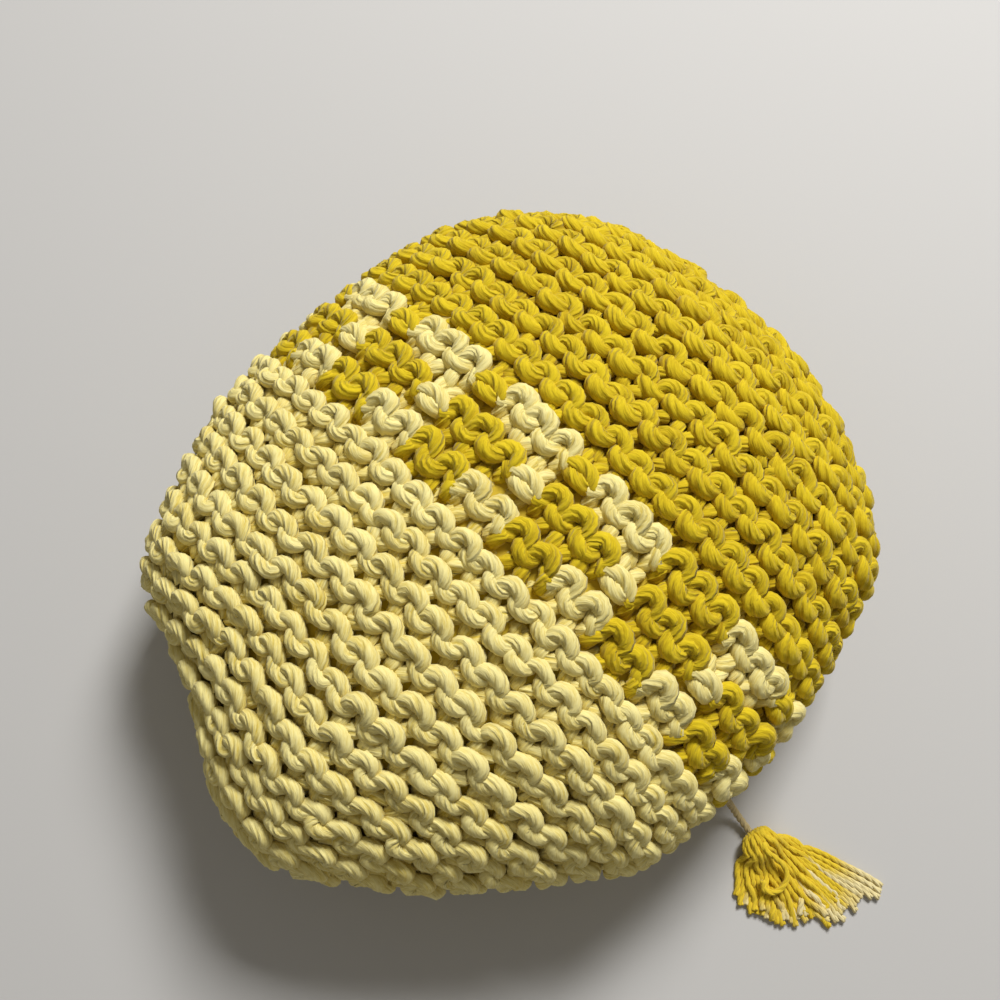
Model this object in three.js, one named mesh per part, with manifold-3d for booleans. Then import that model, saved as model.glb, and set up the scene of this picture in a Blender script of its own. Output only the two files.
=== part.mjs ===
// Round pillow in a chunky garter-stitch cover, lying on its back, with a corded tassel at its rim.
// Millimetres, +Z up, origin on the surface under the middle of the pillow. +Y is the top of its face.
import * as THREE from "three";
import { mergeVertices } from "three/addons/utils/BufferGeometryUtils.js";
import Module from "manifold-3d";

// Pillow: a padded round whose knitted rows circle an axis that lies in its face.
const MEAN_RADIUS = 219;
const HALF_THICKNESS = 98;
const SETTLED_DEPTH = 18; // how far the filling gives way where the pillow lies
const KNIT_AXIS_DEG = 46; // from +X, towards the mustard end
const OUTLINE_WAVES = [
  { lobes: 2, even: -0.057, odd: 0.008 },
  { lobes: 3, even: 0.01, odd: 0.017 },
  { lobes: 4, even: -0.013, odd: 0.004 },
  { lobes: 5, even: 0.006, odd: -0.014 },
];
// Corners and flats where the filling bunches: bearing from the rows' right end, and the push outwards.
const OUTLINE_CORNERS = [
  { bearing_deg: -131, width_deg: 11, push: 0.055 },
  { bearing_deg: -109, width_deg: 12, push: -0.038 },
  { bearing_deg: -84, width_deg: 12, push: 0.05 },
  { bearing_deg: -25, width_deg: 8, push: 0.032 },
  { bearing_deg: 38, width_deg: 11, push: 0.034 },
];

// Garter ridges, counted from the pale end of the axis to the mustard end.
const RIDGE_ZONES = [
  { zone: "pale", ridges: 12, pitch: 21.1 },
  { zone: "band", ridges: 3, pitch: 28 },
  { zone: "mustard", ridges: 9, pitch: 23 },
];
const RIDGE_PHASES = [0, 0.32, 0.68]; // valley, then both shoulders of the ridge
const VALLEY_DEPTH = 7;
const RIDGE_FULLNESS = 3.5;
const STITCHES_ROUND = 56;
const GATHER_DEPTH = 9; // dimple where each end is drawn in
const GATHER_REACH = 22;

// Cord: leaves the underside of the rim, drops and runs out over the surface to the tassel.
const CORD_TURN_DEG = -49.5;
const CORD_DIAMETER = 5;
const CORD_PLIES = 3;
const CORD_SIDES = 9;
const CORD_PLY_DEPTH = 0.16; // share of the radius
const CORD_TWIST_PITCH = 13;
const CORD_STEPS = 50;
const CORD_ROUTE = [
  { out: 195.3, side: 0, up: 46.5 },
  { out: 199.6, side: 0, up: 43.2 },
  { out: 203.9, side: 0.1, up: 39.6 },
  { out: 207.9, side: 0.3, up: 35.6 },
  { out: 211.4, side: 0.6, up: 31.2 },
  { out: 214.2, side: 1, up: 26.4 },
  { out: 216.8, side: 1.4, up: 21.4 },
  { out: 219.6, side: 1.8, up: 16.6 },
  { out: 223, side: 2.1, up: 12.2 },
  { out: 227.2, side: 2.2, up: 8.7 },
  { out: 232.2, side: 2.1, up: 6.5 },
  { out: 237.2, side: 1.8, up: 5.6 },
  { out: 242, side: 1.4, up: 5.4 },
];

// Tassel: strands spread from a round head in a low fan, each layer reaching a little less far.
const HEAD_RADIUS = 8;
const HEAD_FLATTENING = 0.95;
const HEAD_SIDES = 14;
const HEAD_RINGS = 10;
const HEAD_GAP = 0.4;
const STRAND_WIDTH = 3;
const STRAND_STEPS = 6;
const STRAND_ROOT_REACH = 1;
const STRAND_BEND_NEAR = 0.3; // shares of the reach where a strand bends over and comes to rest
const STRAND_BEND_FAR = 0.7;
const STRAND_SETTLE = 1;
const FAN_TURN_DEG = -56;
const FAN_SKEW = 0.6; // the strands at the fan's right edge reach further than those at its left
const FAN_LAYERS = [
  { strands: 13, spread_deg: 80, root: 2.2, tip: 1.5, reach: 62 },
  { strands: 12, spread_deg: 74, root: 6, tip: 1.5, reach: 60 },
  { strands: 11, spread_deg: 65, root: 9.6, tip: 4.8, reach: 57 },
  { strands: 8, spread_deg: 48, root: 13, tip: 8.1, reach: 53 },
];
const CUT_UNEVENNESS = 0.06; // share of the reach by which cut ends differ
const CUT_SHUFFLE = 7.3;

const wasm = await Module();
wasm.setup();

const radians = THREE.MathUtils.degToRad;

// A closed mesh from rings of points that share one count, each end closed by a fan to its own point.
function loftRings(rings, first, last) {
  const count = rings[0].length;
  const points = [...rings.flat(), first, last];
  const positions = new Float32Array(points.flatMap((p) => [p.x, p.y, p.z]));
  const firstIndex = points.length - 2;
  const lastIndex = points.length - 1;
  const lastRing = (rings.length - 1) * count;
  const triangles = [];
  for (let i = 0; i < count; i++) {
    const next = (i + 1) % count;
    triangles.push(firstIndex, next, i);
    triangles.push(lastIndex, lastRing + i, lastRing + next);
    for (let ring = 0; ring < rings.length - 1; ring++) {
      const low = ring * count;
      const high = low + count;
      triangles.push(low + i, low + next, high + next);
      triangles.push(low + i, high + next, high + i);
    }
  }
  const geometry = new THREE.BufferGeometry();
  geometry.setAttribute("position", new THREE.BufferAttribute(positions, 3));
  geometry.setIndex(triangles);
  return geometry;
}

function solidFrom(geometry) {
  const bare = geometry.clone();
  bare.deleteAttribute("normal");
  bare.deleteAttribute("uv");
  const merged = mergeVertices(bare);
  const vertProperties = merged.attributes.position.array;
  const triVerts = new Uint32Array(merged.index.array);
  return new wasm.Manifold(new wasm.Mesh({ numProp: 3, vertProperties, triVerts }));
}

function geometryFrom(solid) {
  const mesh = solid.getMesh();
  const geometry = new THREE.BufferGeometry();
  geometry.setAttribute("position", new THREE.BufferAttribute(mesh.vertProperties, 3));
  geometry.setIndex(new THREE.BufferAttribute(mesh.triVerts, 1));
  return geometry;
}

// Pillow. Latitude runs from end to end of the knit axis, turn goes round it; turn 90 degrees is the face.
const knitAxis = new THREE.Vector3(Math.cos(radians(KNIT_AXIS_DEG)), Math.sin(radians(KNIT_AXIS_DEG)), 0);
const rowAxis = new THREE.Vector3(knitAxis.y, -knitAxis.x, 0);
const upAxis = new THREE.Vector3(0, 0, 1);

function pillowPoint(latitude, turn, inset) {
  const along = Math.sin(latitude);
  const across = Math.cos(latitude) * Math.cos(turn);
  const raised = Math.cos(latitude) * Math.sin(turn);
  const bearing = Math.atan2(along, across);
  const spread = along * along + across * across;
  let stretch = 1;
  for (const wave of OUTLINE_WAVES) {
    const swing = wave.even * Math.cos(wave.lobes * bearing) + wave.odd * Math.sin(wave.lobes * bearing);
    stretch += spread * swing;
  }
  for (const corner of OUTLINE_CORNERS) {
    const turned = bearing - radians(corner.bearing_deg);
    const apart = Math.atan2(Math.sin(turned), Math.cos(turned)) / radians(corner.width_deg);
    stretch += spread * corner.push * Math.exp(-apart * apart);
  }
  const flat = MEAN_RADIUS * stretch;
  const inward = new THREE.Vector3(along / MEAN_RADIUS, across / MEAN_RADIUS, raised / HALF_THICKNESS)
    .normalize()
    .multiplyScalar(-inset);
  const point = new THREE.Vector3()
    .addScaledVector(knitAxis, flat * along + inward.x)
    .addScaledVector(rowAxis, flat * across + inward.y)
    .addScaledVector(upAxis, HALF_THICKNESS * raised + inward.z);
  point.z = Math.max(0, point.z + HALF_THICKNESS - SETTLED_DEPTH);
  return point;
}

// Distance along the middle of the face from the pale end, for evenly spaced latitudes.
function measureFace() {
  const samples = 400;
  const table = [];
  let length = 0;
  let previous = null;
  for (let i = 0; i <= samples; i++) {
    const latitude = Math.PI * (i / samples - 0.5);
    const point = pillowPoint(latitude, Math.PI / 2, 0);
    if (previous) length += point.distanceTo(previous);
    previous = point;
    table.push({ latitude, length });
  }
  return table;
}

function latitudeAt(face, length) {
  const next = Math.max(1, face.findIndex((row) => row.length >= length));
  const low = face[next - 1];
  const high = face[next];
  const share = (length - low.length) / (high.length - low.length);
  return low.latitude + share * (high.latitude - low.latitude);
}

function pillowGeometry() {
  const face = measureFace();
  const faceLength = face.at(-1).length;
  const knitLength = RIDGE_ZONES.reduce((sum, zone) => sum + zone.ridges * zone.pitch, 0);
  const ease = faceLength / knitLength;
  const rings = [];
  let start = 0;
  for (const zone of RIDGE_ZONES) {
    for (let ridge = 0; ridge < zone.ridges; ridge++) {
      for (const phase of RIDGE_PHASES) {
        const length = ease * (start + phase * zone.pitch);
        if (length === 0) continue;
        const valley = VALLEY_DEPTH * Math.abs(Math.cos(Math.PI * phase)) ** RIDGE_FULLNESS;
        rings.push(pillowRing(latitudeAt(face, length), valley + gatherInset(length, faceLength)));
      }
      start += zone.pitch;
    }
  }
  const paleEnd = pillowPoint(-Math.PI / 2, 0, GATHER_DEPTH);
  const mustardEnd = pillowPoint(Math.PI / 2, 0, GATHER_DEPTH);
  return loftRings(rings, paleEnd, mustardEnd);
}

function gatherInset(length, faceLength) {
  const fromEnd = Math.min(length, faceLength - length) / GATHER_REACH;
  return GATHER_DEPTH * Math.exp(-fromEnd * fromEnd);
}

function pillowRing(latitude, inset) {
  const ring = [];
  for (let i = 0; i < STITCHES_ROUND; i++) {
    ring.push(pillowPoint(latitude, (-2 * Math.PI * i) / STITCHES_ROUND, inset));
  }
  return ring;
}

// Cord and tassel share a heading out from the middle of the pillow.
function outward(route) {
  const turn = radians(CORD_TURN_DEG);
  const heading = new THREE.Vector3(Math.cos(turn), Math.sin(turn), 0);
  const sideways = new THREE.Vector3(-heading.y, heading.x, 0);
  return new THREE.Vector3(0, 0, route.up)
    .addScaledVector(heading, route.out)
    .addScaledVector(sideways, route.side);
}

function cordGeometry() {
  const curve = new THREE.CatmullRomCurve3(CORD_ROUTE.map(outward));
  const twists = curve.getLength() / CORD_TWIST_PITCH;
  const frames = curve.computeFrenetFrames(CORD_STEPS);
  const rings = [];
  for (let step = 0; step <= CORD_STEPS; step++) {
    const centre = curve.getPointAt(step / CORD_STEPS);
    const lay = 2 * Math.PI * twists * (step / CORD_STEPS);
    const ring = [];
    for (let side = 0; side < CORD_SIDES; side++) {
      const angle = (2 * Math.PI * side) / CORD_SIDES;
      const ply = 0.5 + 0.5 * Math.cos(CORD_PLIES * angle);
      const radius = (CORD_DIAMETER / 2) * (1 - CORD_PLY_DEPTH * (1 - ply));
      ring.push(
        centre
          .clone()
          .addScaledVector(frames.normals[step], radius * Math.cos(angle + lay))
          .addScaledVector(frames.binormals[step], radius * Math.sin(angle + lay)),
      );
    }
    rings.push(ring);
  }
  return loftRings(rings, curve.getPointAt(0), curve.getPointAt(1));
}

// Head: the round turn of the strands over the cord's loop, which the strands grow out of.
function headCentre() {
  const end = CORD_ROUTE.at(-1);
  const reach = end.out + HEAD_RADIUS + HEAD_GAP;
  return outward({ out: reach, side: end.side, up: HEAD_RADIUS * HEAD_FLATTENING });
}

function headGeometry(centre) {
  const ball = new THREE.SphereGeometry(HEAD_RADIUS, HEAD_SIDES, HEAD_RINGS);
  ball.scale(1, 1, HEAD_FLATTENING);
  ball.translate(centre.x, centre.y, centre.z);
  return ball;
}

function strandCurve(centre, layer, index) {
  const share = index / (layer.strands - 1) - 0.5;
  const turn = radians(FAN_TURN_DEG + share * layer.spread_deg);
  const heading = new THREE.Vector3(Math.cos(turn), Math.sin(turn), 0);
  const uneven = 1 + CUT_UNEVENNESS * Math.sin(CUT_SHUFFLE * index + layer.reach);
  const reach = layer.reach * uneven * (1 + FAN_SKEW * share);
  const place = (out, up) => new THREE.Vector3(centre.x, centre.y, up).addScaledVector(heading, out);
  const half = (layer.root + layer.tip) / 2;
  return new THREE.CatmullRomCurve3([
    place(STRAND_ROOT_REACH, layer.root),
    place(STRAND_BEND_NEAR * reach, layer.root),
    place(STRAND_BEND_FAR * reach, Math.min(half, layer.tip + STRAND_SETTLE)),
    place(reach, layer.tip),
  ]);
}

function strandGeometry(curve) {
  const half = STRAND_WIDTH / 2;
  const section = new THREE.Shape([
    new THREE.Vector2(-half, -half),
    new THREE.Vector2(half, -half),
    new THREE.Vector2(half, half),
    new THREE.Vector2(-half, half),
  ]);
  return new THREE.ExtrudeGeometry(section, { steps: STRAND_STEPS, extrudePath: curve });
}

function tasselGeometry() {
  const centre = headCentre();
  let tassel = solidFrom(headGeometry(centre));
  for (const layer of FAN_LAYERS) {
    for (let index = 0; index < layer.strands; index++) {
      tassel = tassel.add(solidFrom(strandGeometry(strandCurve(centre, layer, index))));
    }
  }
  return geometryFrom(tassel);
}

function finish(colour) {
  return new THREE.MeshStandardMaterial({ color: colour, roughness: 0.95, metalness: 0 });
}

function piece(name, geometry, colour) {
  const mesh = new THREE.Mesh(geometry, finish(colour));
  mesh.name = name;
  return mesh;
}

const pillow = piece("pillow", pillowGeometry(), 0xdccf8f);
const tasselCord = piece("tassel_cord", cordGeometry(), 0xd9cda4);
const tassel = piece("tassel", tasselGeometry(), 0xdcb52c);

// The uneven round is centred over the origin by its own box.
const middle = new THREE.Box3().setFromObject(pillow).getCenter(new THREE.Vector3());
const knitPillow = new THREE.Group();
knitPillow.add(pillow, tasselCord, tassel);
knitPillow.position.set(-middle.x, -middle.y, 0);

export default knitPillow;
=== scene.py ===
"""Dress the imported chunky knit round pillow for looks.

The pillow is one garter stitch tube of thick cotton yarn, drawn in at both ends and filled.
Every loop of yarn is swept over a padded body, and a corded tassel lies beside it.
"""

import logging
import math
from dataclasses import dataclass, field, replace
from enum import Enum

import bpy
import numpy as np
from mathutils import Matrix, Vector


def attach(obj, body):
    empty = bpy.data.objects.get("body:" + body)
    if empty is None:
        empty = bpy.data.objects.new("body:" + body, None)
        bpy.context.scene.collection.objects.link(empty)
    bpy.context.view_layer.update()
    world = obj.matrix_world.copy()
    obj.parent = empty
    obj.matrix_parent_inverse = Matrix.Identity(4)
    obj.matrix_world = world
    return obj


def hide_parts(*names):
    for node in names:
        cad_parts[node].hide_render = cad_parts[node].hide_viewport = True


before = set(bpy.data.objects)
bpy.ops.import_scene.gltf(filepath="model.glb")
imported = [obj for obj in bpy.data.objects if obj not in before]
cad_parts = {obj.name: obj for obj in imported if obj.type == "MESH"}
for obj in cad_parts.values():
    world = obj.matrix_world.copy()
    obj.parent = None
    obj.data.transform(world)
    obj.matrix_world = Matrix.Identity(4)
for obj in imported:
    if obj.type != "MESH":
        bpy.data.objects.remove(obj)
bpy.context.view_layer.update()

LOG = logging.getLogger("knit_pillow")
FULL_TURN = 2 * math.pi
TINY = 1e-9
Colour = tuple[float, float, float]
Place = tuple[float, float, float]


def unit(vectors: np.ndarray) -> np.ndarray:
    """Scale each vector to a length of one.

    Args:
        vectors: Vectors in the last axis.

    Returns:
        The same directions at unit length.
    """
    lengths = np.linalg.norm(vectors, axis=-1, keepdims=True)
    return vectors / np.maximum(lengths, TINY)


def reach_along(path: np.ndarray) -> np.ndarray:
    """Measure how far along a line each of its points is."""
    return np.concatenate([[0], np.cumsum(np.linalg.norm(np.diff(path, axis=0), axis=1))])


def spline(points: np.ndarray, steps: np.ndarray) -> np.ndarray:
    """Run a smooth line through points.

    Args:
        points: Points to pass through, one a row.
        steps: How many samples each span gets.

    Returns:
        The sampled line, which ends on the last point.
    """
    padded = np.vstack([2 * points[0] - points[1], points, 2 * points[-1] - points[-2]])
    before, start, end, after = padded[:-3], padded[1:-2], padded[2:-1], padded[3:]
    spans = np.repeat(np.arange(len(start)), steps[: len(start)])
    firsts = np.repeat(np.cumsum(steps[: len(start)]) - steps[: len(start)], steps[: len(start)])
    share = ((np.arange(len(spans)) - firsts) / steps[spans])[:, None]
    a, b, c, d = before[spans], start[spans], end[spans], after[spans]
    line = 0.5 * (
        2 * b
        + (c - a) * share
        + (2 * a - 5 * b + 4 * c - d) * share**2
        + (3 * b - a - 3 * c + d) * share**3
    )
    return np.vstack([line, points[-1:]])


def spline_round(control: np.ndarray, steps: np.ndarray, stitches: int) -> np.ndarray:
    """Run a smooth line through a row that closes after a number of stitches.

    Args:
        control: Control points, the first column in stitches.
        steps: Samples of each span.
        stitches: Stitches in the row.

    Returns:
        The sampled line, without its first point repeated.
    """
    lap = np.array([stitches, 0.0, 0.0, 0.0])
    wrapped = np.vstack([control[-1:] - lap, control, control[:2] + lap])
    inner = spline(wrapped, np.concatenate([[1], steps, [1]]))
    return inner[1 : 1 + int(steps.sum())]


@dataclass(frozen=True)
class OutlineWave:
    """One slow wave in the pillow's outline."""

    lobes: int
    even: float
    odd: float


@dataclass(frozen=True)
class OutlineCorner:
    """A corner or a flat in the outline, where the filling bunches."""

    bearing_deg: float
    width_deg: float
    push: float


@dataclass
class PillowForm:
    """The pillow's outer surface, measured across its rows and along them."""

    mean_radius: float = 0.219
    half_thickness: float = 0.098
    settled_depth: float = 0.018
    knit_axis_deg: float = 46.0
    colour_change: tuple[float, float] = (0.03, 0.06)
    floor_softness: float = 0.005
    waves: tuple[OutlineWave, ...] = (
        OutlineWave(2, -0.057, 0.008),
        OutlineWave(3, 0.01, 0.017),
        OutlineWave(4, -0.013, 0.004),
        OutlineWave(5, 0.006, -0.014),
    )
    corners: tuple[OutlineCorner, ...] = (
        OutlineCorner(-131, 11, 0.055),
        OutlineCorner(-109, 12, -0.038),
        OutlineCorner(-84, 12, 0.05),
        OutlineCorner(-25, 8, 0.032),
        OutlineCorner(38, 11, 0.034),
    )
    rows: int = 241
    columns: int = 361
    face_samples: int = 2001
    ring_samples: int = 1444
    pole_margin: float = 0.02
    face_length: float = field(init=False)

    def __post_init__(self) -> None:
        """Measure the surface once, so that yarn can be laid on it by length."""
        turn = math.radians(self.knit_axis_deg)
        self.knit_axis = np.array([math.cos(turn), math.sin(turn), 0.0])
        self.row_axis = np.array([math.sin(turn), -math.cos(turn), 0.0])
        self.lay_grid()

    def surface(self, latitude: np.ndarray, turn: np.ndarray) -> np.ndarray:
        """Give the outer surface's points.

        Args:
            latitude: Angle from the pale end to the mustard end.
            turn: Angle round the rows, a quarter turn at the face's middle.

        Returns:
            Points before the pillow is centred.
        """
        along = np.sin(latitude)
        across = np.cos(latitude) * np.cos(turn)
        raised = np.cos(latitude) * np.sin(turn)
        bearing = np.arctan2(along, across)
        swing = sum(
            wave.even * np.cos(wave.lobes * bearing) + wave.odd * np.sin(wave.lobes * bearing)
            for wave in self.waves
        )
        for corner in self.corners:
            turned = bearing - math.radians(corner.bearing_deg)
            apart = np.arctan2(np.sin(turned), np.cos(turned)) / math.radians(corner.width_deg)
            swing = swing + corner.push * np.exp(-(apart**2))
        flat = self.mean_radius * (1 + (along**2 + across**2) * swing)
        points = (flat * along)[..., None] * self.knit_axis + (flat * across)[..., None] * self.row_axis
        height = self.half_thickness * (1 + raised) - self.settled_depth
        points[..., 2] = (height + np.sqrt(height**2 + self.floor_softness**2)) / 2
        return points

    def lay_grid(self) -> None:
        """Sample the surface at even lengths across the rows and even shares along them."""
        fine = np.linspace(-math.pi / 2, math.pi / 2, self.face_samples)
        face = self.surface(fine, np.full_like(fine, math.pi / 2))
        reach = reach_along(face)
        self.face_length = float(reach[-1])
        latitudes = np.interp(np.linspace(0, self.face_length, self.rows), reach, fine)
        steepest = math.pi / 2 - self.pole_margin
        latitudes = np.clip(latitudes, -steepest, steepest)
        turns = math.pi / 2 - np.linspace(0, FULL_TURN, self.ring_samples)
        shares = np.linspace(0, 1, self.columns)
        self.points = np.empty((self.rows, self.columns, 3))
        self.perimeters = np.empty(self.rows)
        for row, latitude in enumerate(latitudes):
            ring = self.surface(np.full_like(turns, latitude), turns)
            lengths = reach_along(ring)
            self.perimeters[row] = lengths[-1]
            for axis in range(3):
                self.points[row, :, axis] = np.interp(shares * lengths[-1], lengths, ring[:, axis])
        middle = (self.points[..., :2].min(axis=(0, 1)) + self.points[..., :2].max(axis=(0, 1))) / 2
        self.points[..., :2] -= middle
        self.shift = -middle
        around = np.roll(self.points[:, :-1], -1, axis=1) - np.roll(self.points[:, :-1], 1, axis=1)
        around = np.concatenate([around, around[:, :1]], axis=1)
        over = np.gradient(self.points, axis=0)
        self.normals = unit(np.cross(around, over))
        self.normals[0] = self.normals[1].mean(axis=0)
        self.normals[-1] = self.normals[-2].mean(axis=0)

    def place(self, reach: np.ndarray, share: np.ndarray, lift: np.ndarray) -> tuple[np.ndarray, np.ndarray]:
        """Put points on the surface or at a height over it.

        Args:
            reach: Distance from the pale end, measured over the face's middle.
            share: Share of the way round a row, from the face's middle.
            lift: Height over the outer surface, negative inside.

        Returns:
            The points and the surface's normals there.
        """
        row = np.clip(reach / self.face_length, 0, 1) * (self.rows - 1)
        column = np.mod(share, 1.0) * (self.columns - 1)
        low_row = np.minimum(row.astype(int), self.rows - 2)
        low_column = np.minimum(column.astype(int), self.columns - 2)
        up, side = (row - low_row)[:, None], (column - low_column)[:, None]

        def blend(grid: np.ndarray) -> np.ndarray:
            """Blend a grid's four values round each place."""
            near = grid[low_row, low_column] * (1 - side) + grid[low_row, low_column + 1] * side
            far = grid[low_row + 1, low_column] * (1 - side) + grid[low_row + 1, low_column + 1] * side
            return near * (1 - up) + far * up

        normals = unit(blend(self.normals))
        return blend(self.points) + normals * lift[:, None], normals

    def perimeter(self, reach: float) -> float:
        """Length of the row at a distance from the pale end."""
        return float(np.interp(reach, np.linspace(0, self.face_length, self.rows), self.perimeters))


@dataclass(frozen=True)
class YarnFinish:
    """Colours and fibre of one cotton yarn, with a lit colour and a painted shade colour."""

    name: str
    lit: Colour
    deep: Colour
    strands: float = 7.0
    girth: float = 0.0104
    crease_depth: float = 0.001
    fibre_size: float = 0.0008
    fibre_depth: float = 0.00045
    roughness: float = 0.92
    sheen: float = 0.2
    sheen_roughness: float = 0.5
    gloss: float = 0.15

    @classmethod
    def thin(
        cls, name: str, lit: Colour, deep: Colour, fibre_size: float, fibre_depth: float
    ) -> "YarnFinish":
        """Give the finish of a thin strand, with few plies and shallow creases.

        Args:
            name: Its material slot.
            lit: Its colour in the light.
            deep: Its colour in painted shade, in creases and valleys.
            fibre_size: Width of its fibre.
            fibre_depth: Relief of its fibre.

        Returns:
            The finish.
        """
        return cls(
            name,
            lit,
            deep,
            strands=4.0,
            girth=0.0027,
            crease_depth=0.0002,
            fibre_size=fibre_size,
            fibre_depth=fibre_depth,
        )


class Finish(Enum):
    """The part's finishes by material slot."""

    # Each finish gives its lit colour, then its painted shade colour.
    PALE = YarnFinish("pale_yarn", (0.80, 0.70, 0.29), (0.56, 0.40, 0.025), crease_depth=0.0007)
    MUSTARD = YarnFinish("mustard_yarn", (0.645, 0.48, 0.013), (0.34, 0.205, 0.002))
    GOLDEN = YarnFinish.thin("golden_yarn", (0.70, 0.51, 0.032), (0.50, 0.32, 0.006), 0.0005, 0.0002)
    CREAM = YarnFinish.thin("cream_yarn", (0.74, 0.64, 0.34), (0.56, 0.44, 0.17), 0.0005, 0.0002)
    CORD = YarnFinish.thin("cord_yarn", (0.52, 0.42, 0.22), (0.34, 0.25, 0.10), 0.0004, 0.0001)


@dataclass(frozen=True)
class PlyLook:
    """How plies and fibre are drawn on every yarn, with their spread in yarn girths, and how much painted
    light and shade their lumps and creases get.
    """

    bend_scale: float = 0.9
    bend_run: float = 0.28
    bend: float = 1.6
    firm_scale: float = 1.6
    firm_run: float = 0.4
    firm_least: float = 0.34
    firm_most: float = 0.66
    faintest: float = 0.12
    crease_shade_start: float = 0.3
    fibre_run: float = 0.21
    fibre_detail: float = 3.0
    fleck_tone: float = 1.6
    lump_painted_shading: float = 0.18
    crease_shade_tone: float = 0.3
    plain_tone: float = 0.86
    padding_roughness: float = 0.95


class Wiring:
    """Small helpers that keep node trees short to write."""

    def __init__(self, tree: bpy.types.NodeTree) -> None:
        """Keep the tree that is wired."""
        self.tree = tree

    def add(self, kind: str, **values: object) -> bpy.types.Node:
        """Add a node.

        Args:
            kind: Its type.
            values: Node settings by attribute name.

        Returns:
            The node.
        """
        node = self.tree.nodes.new(kind)
        for name, value in values.items():
            setattr(node, name, value)
        return node

    def feed(self, node: bpy.types.Node, **sources: object) -> bpy.types.Node:
        """Set or link a node's inputs.

        Args:
            node: The node.
            sources: Sockets to link or values to set, by input name, with _ for a space or _0 for a number.

        Returns:
            The same node.
        """
        for name, source in sources.items():
            key = int(name[1:]) if name[1:].isdigit() else name.replace("_", " ")
            if isinstance(source, bpy.types.NodeSocket):
                self.tree.links.new(source, node.inputs[key])
            else:
                node.inputs[key].default_value = source
        return node

    def math(self, operation: str, first: object, second: object) -> bpy.types.NodeSocket:
        """Join two values with a sum.

        Args:
            operation: Which sum.
            first: The first socket or number.
            second: The second socket or number.

        Returns:
            The result's socket.
        """
        return self.feed(self.add("ShaderNodeMath", operation=operation), _0=first, _1=second).outputs[0]

    def blend(self, factor: bpy.types.NodeSocket, first: object, second: object) -> bpy.types.NodeSocket:
        """Blend two colours.

        Args:
            factor: How much of the second there is.
            first: The first socket or colour.
            second: The second socket or colour.

        Returns:
            The result's socket.
        """
        mix = self.add("ShaderNodeMix", data_type="RGBA")
        return self.feed(mix, Factor=factor, A=first, B=second).outputs["Result"]

    def noise(
        self, place: bpy.types.NodeSocket, scale: object, run: float, detail: float
    ) -> bpy.types.NodeSocket:
        """Add soft noise that is drawn out along a yarn.

        Args:
            place: Place in the yarn, with its length on the third axis.
            scale: How fine the noise is.
            run: How much coarser it is along the yarn, below one.
            detail: How many finer layers it has.

        Returns:
            The noise's socket.
        """
        drawn = self.add("ShaderNodeVectorMath", operation="MULTIPLY")
        self.feed(drawn, _0=place, _1=(1.0, 1.0, run))
        texture = self.add("ShaderNodeTexNoise")
        self.feed(texture, Vector=drawn.outputs[0], Scale=scale, Detail=detail)
        return texture.outputs["Fac"]


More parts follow.
